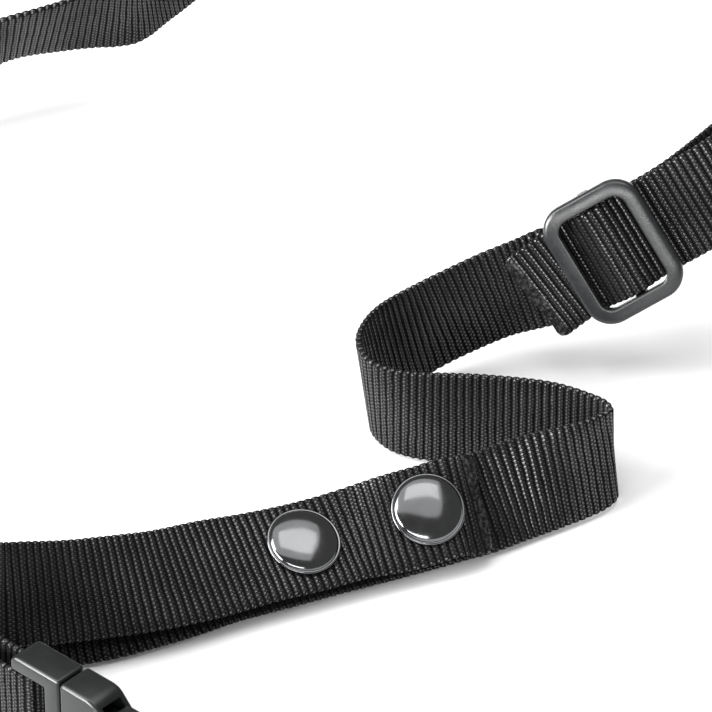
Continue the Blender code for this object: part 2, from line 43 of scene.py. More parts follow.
WEB_WIDTH = 20.0
WEB_THICK = 1.4
GAP = 0.35
BAR_RADIUS = 1.55
WRAP_RADIUS = BAR_RADIUS + GAP + WEB_THICK / 2
STATION_STEP = 5.5
STATION_TURN = math.radians(24)
WRAP_ANGLES = np.radians([30, 60, 90, 120, 150])
PLUG_LEAD = 7.0  # how far the webbing runs straight from the plug's bar
SOCKET_LEAD = 8.0  # and from the socket's

TRIGLIDE_OUTER = (21.6, 26.8)
TRIGLIDE_WINDOW = (15.0, 20.8)
TRIGLIDE_THICK = 2.6
TRIGLIDE_RAISE = 0.5
TRIGLIDE_CORNER = 5.6
TRIGLIDE_WINDOW_CORNER = 2.6
TRIGLIDE_BAR_WIDTH = 2.6
TRIGLIDE_BAR_LOW = -4.2
TRIGLIDE_BAR_HIGH = -2.2
TRIGLIDE_BAR_EDGE = 0.4

CAP_RADIUS = 7.25
CAP_RIM = 0.33  # radius of the rolled rim
CAP_FOOT = (5.6, -0.2)
CAP_SHOULDER = 0.42
CAP_CROWN = 1.6
CAP_GAP = 0.45
SNAP_ABOVE = 0.6  # how far the snaps sit above the webbing's middle
ROUND_STEPS = 96
CORNER_STEPS = 12

BUCKLE_HALF_WIDTH = 13.8
BUCKLE_Z = 13.8
PLUG_THICK = 7.0
PLUG_REAR = -12.6
PLUG_BAR_X = -10.8
SOCKET_THICK = 7.6
SOCKET_END = 33.6
SOCKET_BAR_X = 31.8
BAR_HALF_SPAN = 10.5
CHANNEL_HALF = 12.4
CHANNEL_THICK = 4.7
SHELL_EDGE = 1.1  # radius along the edges of plug and socket
ARM_EDGE = 0.3
BAR_TUCK = 1.0  # how far each end of a bar reaches into its cheek
CHEEK_WALL = -4.2  # where the plug's wall between its cheeks stands
TONGUE_ROOT = -1.5
TONGUE = (16.5, 3.0, 1.8)  # its tip, half its width and half its thickness
PRONG_THICK = 3.8
EASING_ROUNDS = 2

PLY_PITCH = 1.8  # between two plies' middles
TAIL_SETTLE = 10.0  # over this length a tail comes down from its bar
SEWN_TAIL = 26.0

# The weave: cross ribs along the webbing, and the yarns that run over and under them
RIB_PITCH = 1.55
YARN_PITCH = 0.415
RIB_SAMPLES = 6  # stations to a rib
RIB_DEPTH = 0.26
RIB_ROUNDNESS = 0.85  # below 1, broad crests and narrow grooves
SELVEDGE = 0.22  # how far each rib's end stands out of the edge
EDGE_BEAD = 0.5  # how far the rounded edge reaches
FLAP_LEAD = 10.0  # how far the flap's piece reaches back past its hinge
END_CORNER = 1.6  # radius at the corners of a cut end
MELTED = 2.8  # length of the heat-sealed band at a cut end
MELTED_RIB = 0.75  # height of what is left of the ribs in it
SEALED_SHARPNESS = 2.5
CUT_THIN = 0.6  # share of the thickness left at the cut
CUT_TAPER = 1.2
FRAY_LENGTH = 0.6
FAR_FROM_CUT = 9.0
YARN_COLUMN = 0.19  # share of a rib's pitch from its middle to the column of yarns on each side
YARN_NARROWNESS = 2.35
YARN_LEAN = 0.9

# The slide's section: share of the way from its window's edge to its outer edge, and height
SLIDE_SECTION = (
    (0.0, -1.1), (0.0, 1.12), (0.02, 1.23), (0.06, 1.29), (0.12, 1.3), (0.45, 1.21), (0.72, 1.06), (0.84, 0.93),
    (0.92, 0.74), (0.97, 0.48), (1.0, 0.15), (1.0, -0.9), (0.98, -1.08), (0.93, -1.22), (0.85, -1.3),
    (0.08, -1.3), (0.02, -1.22),
)

# The buckle's outlines in its own X and Y. Plug, socket and channel are the upper half, and the arm is the upper one.
PLUG_HALF = [
    (CHEEK_WALL, BAR_HALF_SPAN), (PLUG_REAR, BAR_HALF_SPAN), (PLUG_REAR, 12.8), (-11.6, BUCKLE_HALF_WIDTH),
    (-GAP / 2, BUCKLE_HALF_WIDTH),
]
ARM_OUTLINE = [
    (-1.2, 7.1), (1.0, 7.2), (9.5, 8.0), (14.0, 8.4), (20.0, 6.6), (23.2, 6.2), (24.3, 6.9), (24.2, 7.8),
    (22.2, 9.4), (19.8, 11.5), (16.5, 12.2), (12.8, 12.2), (11.6, 11.7), (11.2, 10.2), (9.5, 9.9), (1.0, 9.6),
    (-1.2, 9.7),
]
SOCKET_HALF = [
    (GAP / 2, BUCKLE_HALF_WIDTH), (7.0, BUCKLE_HALF_WIDTH), (8.3, 13.5), (9.2, 12.9), (10.6, 11.4), (11.6, 10.3),
    (20.8, 10.3), (22.2, 11.4), (23.4, 12.9), (32.4, 12.9), (33.2, 12.6), (SOCKET_END, 11.8),
    (SOCKET_END, BAR_HALF_SPAN), (26.8, BAR_HALF_SPAN),
]
CHANNEL_OUTLINE = [(-1.0, CHANNEL_HALF), (22.6, CHANNEL_HALF), (22.6, 9.6), (25.2, 9.6)]

UP = (0.0, 0.0, 1.0)

# The webbing's route: x, y, z of its middle, then the direction across it, then how far the folded-back ply lies
# from it: off its face and along its width. Each list runs from the plug's bar to the slide.
RIGHT_ROUTE = [
    (-73.2, -123.3, 13.6, -0.05, 0.00, 1.00, 5.3, 0.5),
    (-78.6, -115.0, 12.3, -0.20, 0.00, 0.98, 5.5, 1.5),
    (-79.2, -106.0, 10.6, -0.40, 0.10, 0.91, 5.5, 3.5),
    (-74.6, -101.0, 9.4, -0.35, 0.45, 0.82, 5.0, 5.0),
    (-66.7, -99.8, 8.3, -0.08, 0.63, 0.77, 4.5, 5.2),
    (-56.2, -96.4, 7.5, -0.12, 0.71, 0.69, 4.0, 4.0),
    (-47.0, -92.9, 6.8, -0.16, 0.77, 0.62, 3.8, 3.2),
    (-37.4, -88.0, 6.3, -0.20, 0.81, 0.56, 3.6, 1.8),
    (-27.4, -82.0, 5.7, -0.24, 0.83, 0.50, 3.6, 0.6),
    (-18.8, -78.0, 5.1, -0.28, 0.87, 0.41, 3.6, 0.3),
    (-10.6, -74.2, 4.8, -0.29, 0.87, 0.40, 3.6, 0.0),
    (-0.4, -69.9, 5.2, -0.29, 0.85, 0.43, 3.6, 0.0),
    (8.6, -66.7, 6.4, -0.30, 0.76, 0.57, 3.6, 0.0),
    (13.4, -64.9, 6.8, -0.30, 0.75, 0.59, 3.6, 0.0),
    (18.2, -63.2, 7.3, -0.30, 0.74, 0.60, 3.6, 0.0),
    (24.1, -61.2, 8.0, -0.30, 0.60, 0.74, 1.8, 0.0),
    (31.8, -57.8, 8.9, -0.30, 0.46, 0.84, 1.8, 0.0),
    (38.2, -55.3, 9.5, -0.26, 0.34, 0.90, 1.8, 0.0),
    (43.8, -53.0, 9.9, -0.20, 0.22, 0.95, 1.8, 0.0),
    (47.6, -50.6, 10.1, -0.13, 0.17, 0.98, 1.8, 0.0),
    (49.8, -47.7, 10.2, -0.07, 0.15, 0.99, 1.8, 0.0),
    (48.7, -44.5, 10.2, -0.04, 0.08, 1.00, 1.8, 0.0),
    (45.3, -41.3, 10.2, -0.01, 0.00, 1.00, 1.8, 0.0),
    (39.9, -38.4, 10.2, 0.00, 0.00, 1.00, 1.8, 0.0),
    (32.1, -36.4, 10.2, 0.00, 0.02, 1.00, 1.8, 0.0),
    (24.4, -35.7, 10.2, -0.01, 0.07, 1.00, 1.8, 0.0),
    (16.6, -35.6, 10.2, -0.02, 0.10, 1.00, 1.8, 0.0),
    (11.0, -34.7, 10.2, -0.03, 0.06, 1.00, 1.8, 0.0),
    (6.4, -32.6, 10.2, -0.07, 0.01, 1.00, 1.8, 0.0),
    (3.5, -29.5, 10.2, -0.11, 0.00, 0.99, 1.8, 0.0),
    (2.1, -25.3, 10.2, -0.14, 0.09, 0.99, 1.8, 0.0),
    (3.8, -17.1, 10.1, -0.22, 0.12, 0.97, 1.8, 0.0),
    (8.7, -9.6, 10.0, -0.29, 0.11, 0.95, 1.8, 0.0),
    (13.9, -5.5, 10.9, -0.30, 0.07, 0.95, 1.8, 0.0),
    (21.3, -2.6, 13.3, -0.32, 0.04, 0.95, 1.8, 0.0),
    (28.9, -0.6, 15.9, -0.33, 0.10, 0.94, 1.8, 0.0),
    (35.8, -0.2, 18.3, -0.39, 0.24, 0.89, 1.8, 0.0),
]
LEFT_ROUTE = [
    (-197.8, 8.0, 13.0, -0.05, 0.00, 1.00, 5.0, 0.5),
    (-193.0, 25.0, 11.5, -0.15, 0.05, 0.99, 4.6, 1.0),
    (-184.0, 40.0, 10.6, -0.22, 0.18, 0.96, 4.2, 1.0),
    (-170.0, 51.0, 9.9, -0.20, 0.32, 0.93, 3.8, 0.6),
    (-157.0, 57.6, 9.6, -0.18, 0.40, 0.90, 3.6, 0.0),
    (-145.0, 62.2, 9.5, -0.18, 0.42, 0.89, 3.6, 0.0),
    (-132.0, 66.6, 9.6, -0.17, 0.40, 0.90, 3.6, 0.0),
    (-123.6, 69.1, 9.8, -0.17, 0.40, 0.90, 3.6, 0.0),
    (-119.0, 70.5, 9.8, -0.17, 0.40, 0.90, 3.6, 0.0),
    (-114.4, 72.0, 10.0, -0.17, 0.39, 0.90, 3.6, 0.0),
    (-108.0, 74.0, 10.4, -0.14, 0.32, 0.94, 1.8, 0.0),
    (-94.0, 79.6, 14.0, -0.07, -0.12, 0.99, 1.8, 0.0),
    (-76.4, 88.6, 19.6, 0.00, -0.53, 0.85, 1.8, 0.0),
    (-59.5, 95.8, 20.4, 0.00, -0.43, 0.90, 1.8, 0.0),
    (-48.4, 102.2, 20.4, -0.15, -0.20, 0.97, 1.8, 0.0),
    (-42.4, 112.0, 20.6, -0.18, 0.02, 0.98, 1.8, 0.0),
    (-35.5, 123.0, 21.0, -0.20, 0.10, 0.97, 1.8, 0.0),
    (-26.5, 137.5, 20.8, -0.22, 0.02, 0.97, 1.8, 0.0),
    (-14.6, 151.0, 20.4, -0.25, -0.06, 0.97, 1.8, 0.0),
]
# The neck webbing between the two sockets: x, y, z and the direction across it.
NECK_ROUTE = [
    (-15.5, -174.0, 13.0, 0.00, 0.00, 1.00),
    (-13.5, -184.0, 11.6, 0.05, 0.03, 1.00),
    (-20.5, -194.5, 10.7, 0.08, 0.12, 0.99),
    (-42.0, -202.5, 10.2, 0.05, 0.20, 0.98),
    (-84.0, -205.5, 9.9, 0.02, 0.26, 0.97),
    (-130.0, -196.0, 9.8, 0.10, 0.26, 0.96),
    (-168.0, -170.0, 9.8, 0.20, 0.18, 0.96),
    (-191.0, -133.0, 10.1, 0.22, 0.08, 0.97),
    (-199.0, -96.0, 11.4, 0.12, 0.00, 0.99),
    (-199.3, -76.0, 13.4, 0.04, 0.00, 1.00),
]

# Where each side's hardware is: the middle of the seam between plug and socket, and the middle of the triglide.
# hinge, snaps and hem are places in the route, and drift is how far the webbing has moved across its width there:
# where it comes to the triglide, and at its loose end.
RIGHT_SIDE = {
    "name": "right", "route": RIGHT_ROUTE, "hinge": 7, "snaps": (10, 13), "hem": 15, "drift": (0.8, -1.2),
    "seam": (-51.3, -139.8), "buckle_axis": (0.743, -0.669, 0.0),
    "triglide": (51.4, -3.0, 27.6), "along": (0.85, 0.08, 0.52), "across": (-0.53, 0.32, 0.79),
}
LEFT_SIDE = {
    "name": "left", "route": LEFT_ROUTE, "hinge": 3, "snaps": (5, 8), "hem": 10, "drift": (0.0, -0.6),
    "seam": (-196.5, -22.8), "buckle_axis": (0.0, -1.0, 0.0),
    "triglide": (6.5, 163.5, 27.6), "along": (0.73, 0.62, 0.28), "across": (-0.26, -0.10, 0.96),
}

# The lug end in the triglide's own frame: along the webbing and off the triglide's face. The webbing passes under
# the first bar, over the middle bar and under the last one, round the lug's eye, and back the same way on top.
LUG_LOWER = [(-13.0, -4.2), (-9.0, -4.2), (-6.4, -3.85), (-4.2, -2.8), (-1.6, -1.35), (0.0, -1.2), (1.6, -1.35),
             (4.2, -2.8), (6.4, -3.85), (9.0, -4.2), (13.0, -4.3), (18.0, -5.9), (22.8, -10.4), (27.2, -15.5)]
LUG_UPPER = [(33.4, -8.3), (27.5, -4.6), (20.0, -2.9), (13.0, -2.4), (9.0, -2.35), (6.4, -1.95), (4.2, -0.85),
             (1.6, 0.45), (0.0, 0.6), (-1.6, 0.45), (-4.2, -0.85), (-6.4, -1.95), (-9.0, -2.35), (-13.0, -2.35),
             (-19.8, -2.35)]
LUG_SEAT = (36.0, -17.0)  # middle of the eye's flat end
LUG_SEAT_HALF = 2.0
LUG_CORNER = 2.8
LUG_HEADING = math.radians(-42)


# The studio: each light's name, place, aim, size in metres and power in watts
CAMERA_ELEVATION = math.radians(35)
CAMERA_DISTANCE = 1.2
CAMERA_LENS = 299.1
WORLD_STRENGTH = 0.25
LIGHTS = (
    ("overhead", (-0.08, 0.0, 0.99), (-0.03, 0.0, 0.0), (1.1, 1.3), 6.6),
    ("overhead_core", (0.12, 0.0, 0.98), (0.04, 0.0, 0.0), (0.45, 0.7), 2.4),
    ("left", (-0.85, -0.12, 0.58), (0.0, -0.05, 0.0), (0.45, 0.8), 14.0),
    ("low_left", (-1.12, -0.66, 0.34), (0.0, -0.03, 0.03), (0.8, 0.5), 46.0),
    ("front", (-0.10, -1.2, 0.38), (0.05, 0.0, 0.03), (0.9, 0.24), 9.0),
)


def unit(vector):
    vector = np.array(vector, float)
    return vector / np.linalg.norm(vector)


def frame(origin, along, across):
    """A matrix whose X is along, whose Y is across and whose Z is normal to both."""
    x = unit(along)
    y = unit(np.array(across) - x * (x @ np.array(across)))
    matrix = Matrix.Identity(4)
    for column, vector in enumerate((x, y, np.cross(x, y), np.array(origin))):
        for row in range(3):
            matrix[row][column] = float(vector[row])
    return matrix


def axis_of(place, index):
    """The place's X, Y or Z direction, by its index."""
    return np.array(place.col[index][:3])


def buckle_frame(side):
    """The buckle's place: X from the plug to the socket, Y up, and the origin at the seam."""
    return frame((*side["seam"], BUCKLE_Z), side["buckle_axis"], UP)


# ---- Routes ----------------------------------------------------------------------------------------------------


def arc_length(points):
    """How far along the points each of them is."""
    return np.concatenate([[0], np.cumsum(np.linalg.norm(np.diff(points[:, :3], axis=0), axis=1))])


def between(one, two, slope_one, slope_two, length, u):
    """The cubic from one to two with these slopes at its ends, at the share u of its length."""
    return (
        one * (1 + 2 * u) * (1 - u) ** 2
        + two * u * u * (3 - 2 * u)
        + slope_one * length * u * (1 - u) ** 2
        - slope_two * length * u * u * (1 - u)
    )


def smooth(rows):
    """A smooth curve through the rows, close where it bends, and the index of each row in it."""
    rows = np.array(rows, float)
    steps = np.linalg.norm(np.diff(rows[:, :3], axis=0), axis=1)
    along = arc_length(rows)
    slopes = np.gradient(rows, along, axis=0)
    stations, marks = [], []
    for i, length in enumerate(steps):
        heading, next_heading = unit(slopes[i, :3]), unit(slopes[i + 1, :3])
        turn = math.acos(min(1.0, heading @ next_heading))
        count = max(math.ceil(length / STATION_STEP), math.ceil(turn / STATION_TURN))
        marks.append(len(stations))
        for u in np.arange(count) / count:
            stations.append(between(rows[i], rows[i + 1], slopes[i], slopes[i + 1], length, u))
    marks.append(len(stations))
    stations.append(rows[-1])
    return np.array(stations), marks


def directions(stations):
    """The heading, the direction across the webbing and the normal at each station."""
    heading = np.gradient(stations[:, :3], axis=0)
    heading /= np.linalg.norm(heading, axis=1)[:, None]
    across = stations[:, 3:6] - heading * (stations[:, 3:6] * heading).sum(axis=1)[:, None]
    across /= np.linalg.norm(across, axis=1)[:, None]
    return heading, across, np.cross(heading, across)


def beside(stations, gap, slip):
    """The stations of a second ply, off the first one's face by gap and along its width by slip."""
    _, across, normal = directions(stations)
    return np.hstack([stations[:, :3] + normal * gap[:, None] + across * slip[:, None], across])


def wrap(bar, start_side, slot_side):
    """Stations round a bar, from its start side through its slot side, without the two ends."""
    points = [bar + WRAP_RADIUS * (start_side * math.cos(a) + slot_side * math.sin(a)) for a in WRAP_ANGLES]
    return np.array([(*point, *UP) for point in points])


def lug_rows(side):
    """The route's rows through the triglide, round the lug's eye and back to the loose end."""
    place = frame(side["triglide"], side["along"], side["across"])
    across = axis_of(place, 1)
    ahead = np.array([math.cos(LUG_HEADING), math.sin(LUG_HEADING)])
    upward = np.array([-ahead[1], ahead[0]])
    eye = []
    for sign in (-1, 1):
        corner = np.array(LUG_SEAT) - LUG_CORNER * ahead + sign * LUG_SEAT_HALF * upward
        bend = [
            corner + LUG_CORNER * (sign * upward * math.cos(a) + ahead * math.sin(a))
            for a in np.radians([0, 30, 60, 90])
        ]
        eye += bend if sign < 0 else bend[::-1]
    path = [*LUG_LOWER, *eye, *LUG_UPPER]
    drifts = np.zeros(len(path))
    drifts[0], drifts[-1], drifts[-2] = side["drift"][0], side["drift"][1], side["drift"][1] / 3
    rows = []
    for (t, n), drift in zip(path, drifts):
        point = place @ Vector((t, drift, n))
        rows.append((*point, *across, PLY_PITCH, 0.0))
    return rows


def side_route(side):
    """The stations of one side's whole webbing from its hem, and of its folded ply with its hinge and snaps."""
    place = buckle_frame(side)
    axis, face = axis_of(place, 0), axis_of(place, 2)
    bar = np.array(place @ Vector((PLUG_BAR_X, 0, 0)))
    start = bar + WRAP_RADIUS * face
    first = [(*start, *UP, 2 * WRAP_RADIUS, 0.0), (*(start - PLUG_LEAD * axis), *UP, 2 * WRAP_RADIUS, 0.0)]
    stations, marks = smooth(first + side["route"] + lug_rows(side))
    hinge, hem = marks[side["hinge"] + len(first)], marks[side["hem"] + len(first)]
    fold = beside(stations[: hem + 1], stations[: hem + 1, 6], stations[: hem + 1, 7])
    route = np.vstack([fold[::-1], wrap(bar, -face, axis), stations[:, :6]])
    snaps = [marks[index + len(first)] for index in side["snaps"]]
    return fold, route, hinge, snaps


def neck_route():
    """The stations of the neck webbing, with both of its sewn-back ends."""
    right, left = buckle_frame(RIGHT_SIDE), buckle_frame(LEFT_SIDE)
    right_axis, right_face = axis_of(right, 0), axis_of(right, 2)
    left_axis, left_face = axis_of(left, 0), axis_of(left, 2)
    right_bar = np.array(right @ Vector((SOCKET_BAR_X, 0, 0)))
    left_bar = np.array(left @ Vector((SOCKET_BAR_X, 0, 0)))
    start = right_bar - WRAP_RADIUS * right_face
    end = left_bar + WRAP_RADIUS * left_face
    rows = [(*start, *UP), (*(start + SOCKET_LEAD * right_axis), *UP), *NECK_ROUTE]
    rows += [(*(end + SOCKET_LEAD * left_axis), *UP), (*end, *UP)]
    stations, _ = smooth(rows)
    along = arc_length(stations)
    from_end = np.minimum(along, along[-1] - along)
    near = np.clip(1 - from_end / TAIL_SETTLE, 0, 1)
    gap = PLY_PITCH + (2 * WRAP_RADIUS - PLY_PITCH) * near * near * (3 - 2 * near)
    ply = beside(stations, gap, np.zeros(len(gap)))
    right_tail = ply[along <= SEWN_TAIL][::-1]
    left_tail = ply[along >= along[-1] - SEWN_TAIL][::-1]
    return np.vstack([
        right_tail, wrap(right_bar, right_face, -right_axis), stations,
        wrap(left_bar, left_face, -left_axis), left_tail,
    ])


def resample(stations, start, end):
    """Rib-fine stations of a smooth curve through the stations, between two lengths along it."""
    along = arc_length(stations)
    slopes = np.gradient(stations, along, axis=0)
    first, last = math.ceil(start / RIB_PITCH * RIB_SAMPLES), math.floor(end / RIB_PITCH * RIB_SAMPLES)
    at = np.arange(first, last + 1) * RIB_PITCH / RIB_SAMPLES
    i = np.clip(np.searchsorted(along, at, side="right") - 1, 0, len(along) - 2)
    length = (along[i + 1] - along[i])[:, None]
    u = ((at - along[i]) / (along[i + 1] - along[i]))[:, None]
    return between(stations[i], stations[i + 1], slopes[i], slopes[i + 1], length, u), at


def section(rib):
    """The webbing's cross-section where the rib's height is from 0, in the groove, to 1, on the crest."""
    half = WEB_THICK / 2 - RIB_DEPTH * (1 - rib)
    reach = WEB_WIDTH / 2 - EDGE_BEAD
    bead = EDGE_BEAD - SELVEDGE * (1 - rib)
    face = np.linspace(-1, 1, 11) * reach
    turn = np.radians([66, 40, 14, -14, -40, -66])
    ring = [(v, half) for v in face]
    ring += [(reach + bead * math.cos(a), half * math.sin(a)) for a in turn]
    ring += [(v, -half) for v in face[::-1]]
    ring += [(-reach - bead * math.cos(a), -half * math.sin(a)) for a in turn]
    return ring


def wave(at, height, length, shift=0.0):
    """A slow unevenness along the webbing, so that it isn't perfectly straight or flat."""
    return height * np.sin(at / length + shift)


def ribbon(name, stations, start, end, look, ragged=()):
    """Ribbed webbing along part of a route. Ragged ends are melt-cut: thinner, and a little uneven.

    Its weave attribute holds the ribs along it, the yarns across it, and how melted it is there.
    """
    points, at = resample(stations, start, end)
    _, across, normal = directions(points)
    wander = wave(at, 0.12, 7.3) + wave(at, 0.08, 2.9, 1.0)
    cup = wave(at, 0.10, 23.0, 0.7)
    shape = bmesh.new()
    weave = shape.verts.layers.float_vector.new("weave")
    rings = []
    for k, length in enumerate(at):
        rib = abs(math.cos(math.pi * length / RIB_PITCH)) ** RIB_ROUNDNESS
        near = min([abs(length - at[cut]) for cut in ragged] or [FAR_FROM_CUT])
        thin = CUT_THIN + (1 - CUT_THIN) * min(1.0, near / CUT_TAPER)
        melted = max(0.0, 1.0 - near / MELTED)
        rib += (MELTED_RIB - rib) * min(1.0, SEALED_SHARPNESS * melted)
        corner = END_CORNER - math.sqrt(END_CORNER**2 - max(0.0, END_CORNER - near) ** 2)
        ring = []
        for v, n in section(rib):
            fray = 0.16 * math.sin(7.1 * v + 1.3) + 0.1 * math.sin(17.0 * v) if near < FRAY_LENGTH else 0.0
            spread = v * (1 + wander[k] / WEB_WIDTH - 2 * corner / WEB_WIDTH)
            bow = cup[k] * (1 - (v / (WEB_WIDTH / 2)) ** 2)
            place = points[k, :3] + across[k] * spread + normal[k] * (n * thin + bow)
            if fray:
                place = place + np.cross(across[k], normal[k]) * fray
            vert = shape.verts.new(((place + LAYOUT_SHIFT) * MM).tolist())
            vert[weave] = (length / RIB_PITCH, v / YARN_PITCH, melted)
            ring.append(vert)
        rings.append(ring)
    count = len(rings[0])
    for near_ring, far_ring in zip(rings, rings[1:]):
        for j in range(count):
            shape.faces.new((near_ring[j], near_ring[(j + 1) % count], far_ring[(j + 1) % count], far_ring[j]))
    shape.faces.new(rings[0][::-1])
    shape.faces.new(rings[-1])
    bmesh.ops.recalc_face_normals(shape, faces=shape.faces)
    return piece_from(name, shape, look, smooth_angle=75)


# ---- Shapes ----------------------------------------------------------------------------------------------------


def piece_from(name, shape, look, smooth_angle=40):
    """A visible piece from a bmesh in metres, shaded smooth except at its sharp edges."""
    mesh = bpy.data.meshes.new(name)
    shape.to_mesh(mesh)
    shape.free()
    mesh.shade_smooth()
    mesh.set_sharp_from_angle(angle=math.radians(smooth_angle))
    mesh.materials.append(look)
    made = bpy.data.objects.new(name, mesh)
    bpy.context.scene.collection.objects.link(made)
    return made


def in_world(place):
    """A layout place, in millimetres, as a world matrix in metres."""
    moved = place.copy()
    moved.translation = (moved.translation + Vector(LAYOUT_SHIFT)) * MM
    return moved


def plate(name, outline, thickness, look, place, edge=0.0, segments=4):
    """A flat outline, given its thickness and rounded edges, in the X and Y of its place."""
    curve = bpy.data.curves.new(name, "CURVE")
    curve.dimensions = "2D"
    curve.fill_mode = "BOTH"
    curve.extrude = thickness / 2 * MM
    spline = curve.splines.new("POLY")
    spline.points.add(len(outline) - 1)
    for point, (x, y) in zip(spline.points, outline):
        point.co = (x * MM, y * MM, 0, 1)
    spline.use_cyclic_u = True
    guide = bpy.data.objects.new(name + "_outline", curve)
    bpy.context.scene.collection.objects.link(guide)
    graph = bpy.context.evaluated_depsgraph_get()
    mesh = bpy.data.meshes.new_from_object(guide.evaluated_get(graph))
    bpy.data.objects.remove(guide)
    shape = bmesh.new()
    shape.from_mesh(mesh)
    bmesh.ops.remove_doubles(shape, verts=shape.verts, dist=1e-6)
    bmesh.ops.dissolve_limit(shape, angle_limit=0.001, verts=shape.verts, edges=shape.edges)
    bmesh.ops.recalc_face_normals(shape, faces=shape.faces)
    made = piece_from(name, shape, look)
    if edge:
        modifier = made.modifiers.new("rounded_edges", "BEVEL")
        modifier.width = edge * MM
        modifier.segments = segments
        modifier.limit_method = "ANGLE"
        modifier.angle_limit = math.radians(40)
    made.matrix_world = in_world(place)
    return made


def tool_box(low, high, place):
    """A box between two corners, to be combined with a piece."""
    shape = bmesh.new()
    bmesh.ops.create_cube(shape, size=1)
    low, high = Vector(low) * MM, Vector(high) * MM
    bmesh.ops.transform(
        shape, verts=shape.verts, matrix=Matrix.Translation((low + high) / 2) @ Matrix.Diagonal((*(high - low), 1))
    )
    made = piece_from("tool", shape, looks["buckle"])
    made.matrix_world = in_world(place)
    return made


def tool_rod(radius, length, place):
    """A rod along its place's Z, to be combined with a piece."""
    shape = bmesh.new()
    bmesh.ops.create_cone(
        shape, cap_ends=True, segments=48, radius1=radius * MM, radius2=radius * MM, depth=length * MM
    )
    made = piece_from("tool", shape, looks["buckle"])
    made.matrix_world = in_world(place)
    return made


def combine(target, others, operation):
    """Cuts other shapes from the target, or joins them on, and removes them."""
    for other in others:
        modifier = target.modifiers.new("combine", "BOOLEAN")
        modifier.object = other
        modifier.operation = operation
        modifier.solver = "EXACT"
        settle(target)
        bpy.data.objects.remove(other)


def settle(made):
    """Applies a piece's modifiers and shades it smooth by angle again."""
    bpy.context.view_layer.update()
    graph = bpy.context.evaluated_depsgraph_get()
    mesh = bpy.data.meshes.new_from_object(made.evaluated_get(graph))
    made.modifiers.clear()
    made.data = mesh
    mesh.shade_smooth()
    mesh.set_sharp_from_angle(angle=math.radians(35))


def turned(name, profile, look, place):
    """A profile of radius and height, turned round its place's Z. It starts and ends on the axis."""
    shape = bmesh.new()
    rings = []
    for radius, height in profile:
        if radius < 1e-6:
            rings.append([shape.verts.new((0, 0, height * MM))])
        else:
            rings.append([
                shape.verts.new((radius * math.cos(a) * MM, radius * math.sin(a) * MM, height * MM))
                for a in np.linspace(0, 2 * math.pi, ROUND_STEPS, endpoint=False)
            ])
    for one, two in zip(rings, rings[1:]):
        for k in range(ROUND_STEPS):
            j = (k + 1) % ROUND_STEPS
            corners = [one[k % len(one)], two[k % len(two)], two[j % len(two)], one[j % len(one)]]
            shape.faces.new(list(dict.fromkeys(corners)))
    bmesh.ops.recalc_face_normals(shape, faces=shape.faces)
    made = piece_from(name, shape, look)
    made.matrix_world = in_world(place)
    return made


def rounded_rectangle(length, width, corner):
    """A rectangle centred on the origin, anticlockwise, with round corners."""
    points = []
    for quarter, (sx, sy) in enumerate(((1, 1), (-1, 1), (-1, -1), (1, -1))):
        cx, cy = sx * (length / 2 - corner), sy * (width / 2 - corner)
        for step in range(CORNER_STEPS + 1):
            angle = math.radians(90 * (quarter + step / CORNER_STEPS))
            points.append((cx + corner * math.cos(angle), cy + corner * math.sin(angle)))
    return points


def mirrored(half):
    """The whole outline of a shape that is the same on both sides of X."""
    return half + [(x, -y) for x, y in reversed(half)]


def eased(outline):
    """Cuts an outline's corners, so that a moulded arm has no hard points in plan."""
    for _ in range(EASING_ROUNDS):
        cut = []
        for (x0, y0), (x1, y1) in zip(outline, outline[1:] + outline[:1]):
            cut += [(x0 * 0.8 + x1 * 0.2, y0 * 0.8 + y1 * 0.2), (x0 * 0.2 + x1 * 0.8, y0 * 0.2 + y1 * 0.8)]
        outline = cut
    return outline


# ---- Materials -------------------------------------------------------------------------------------------------


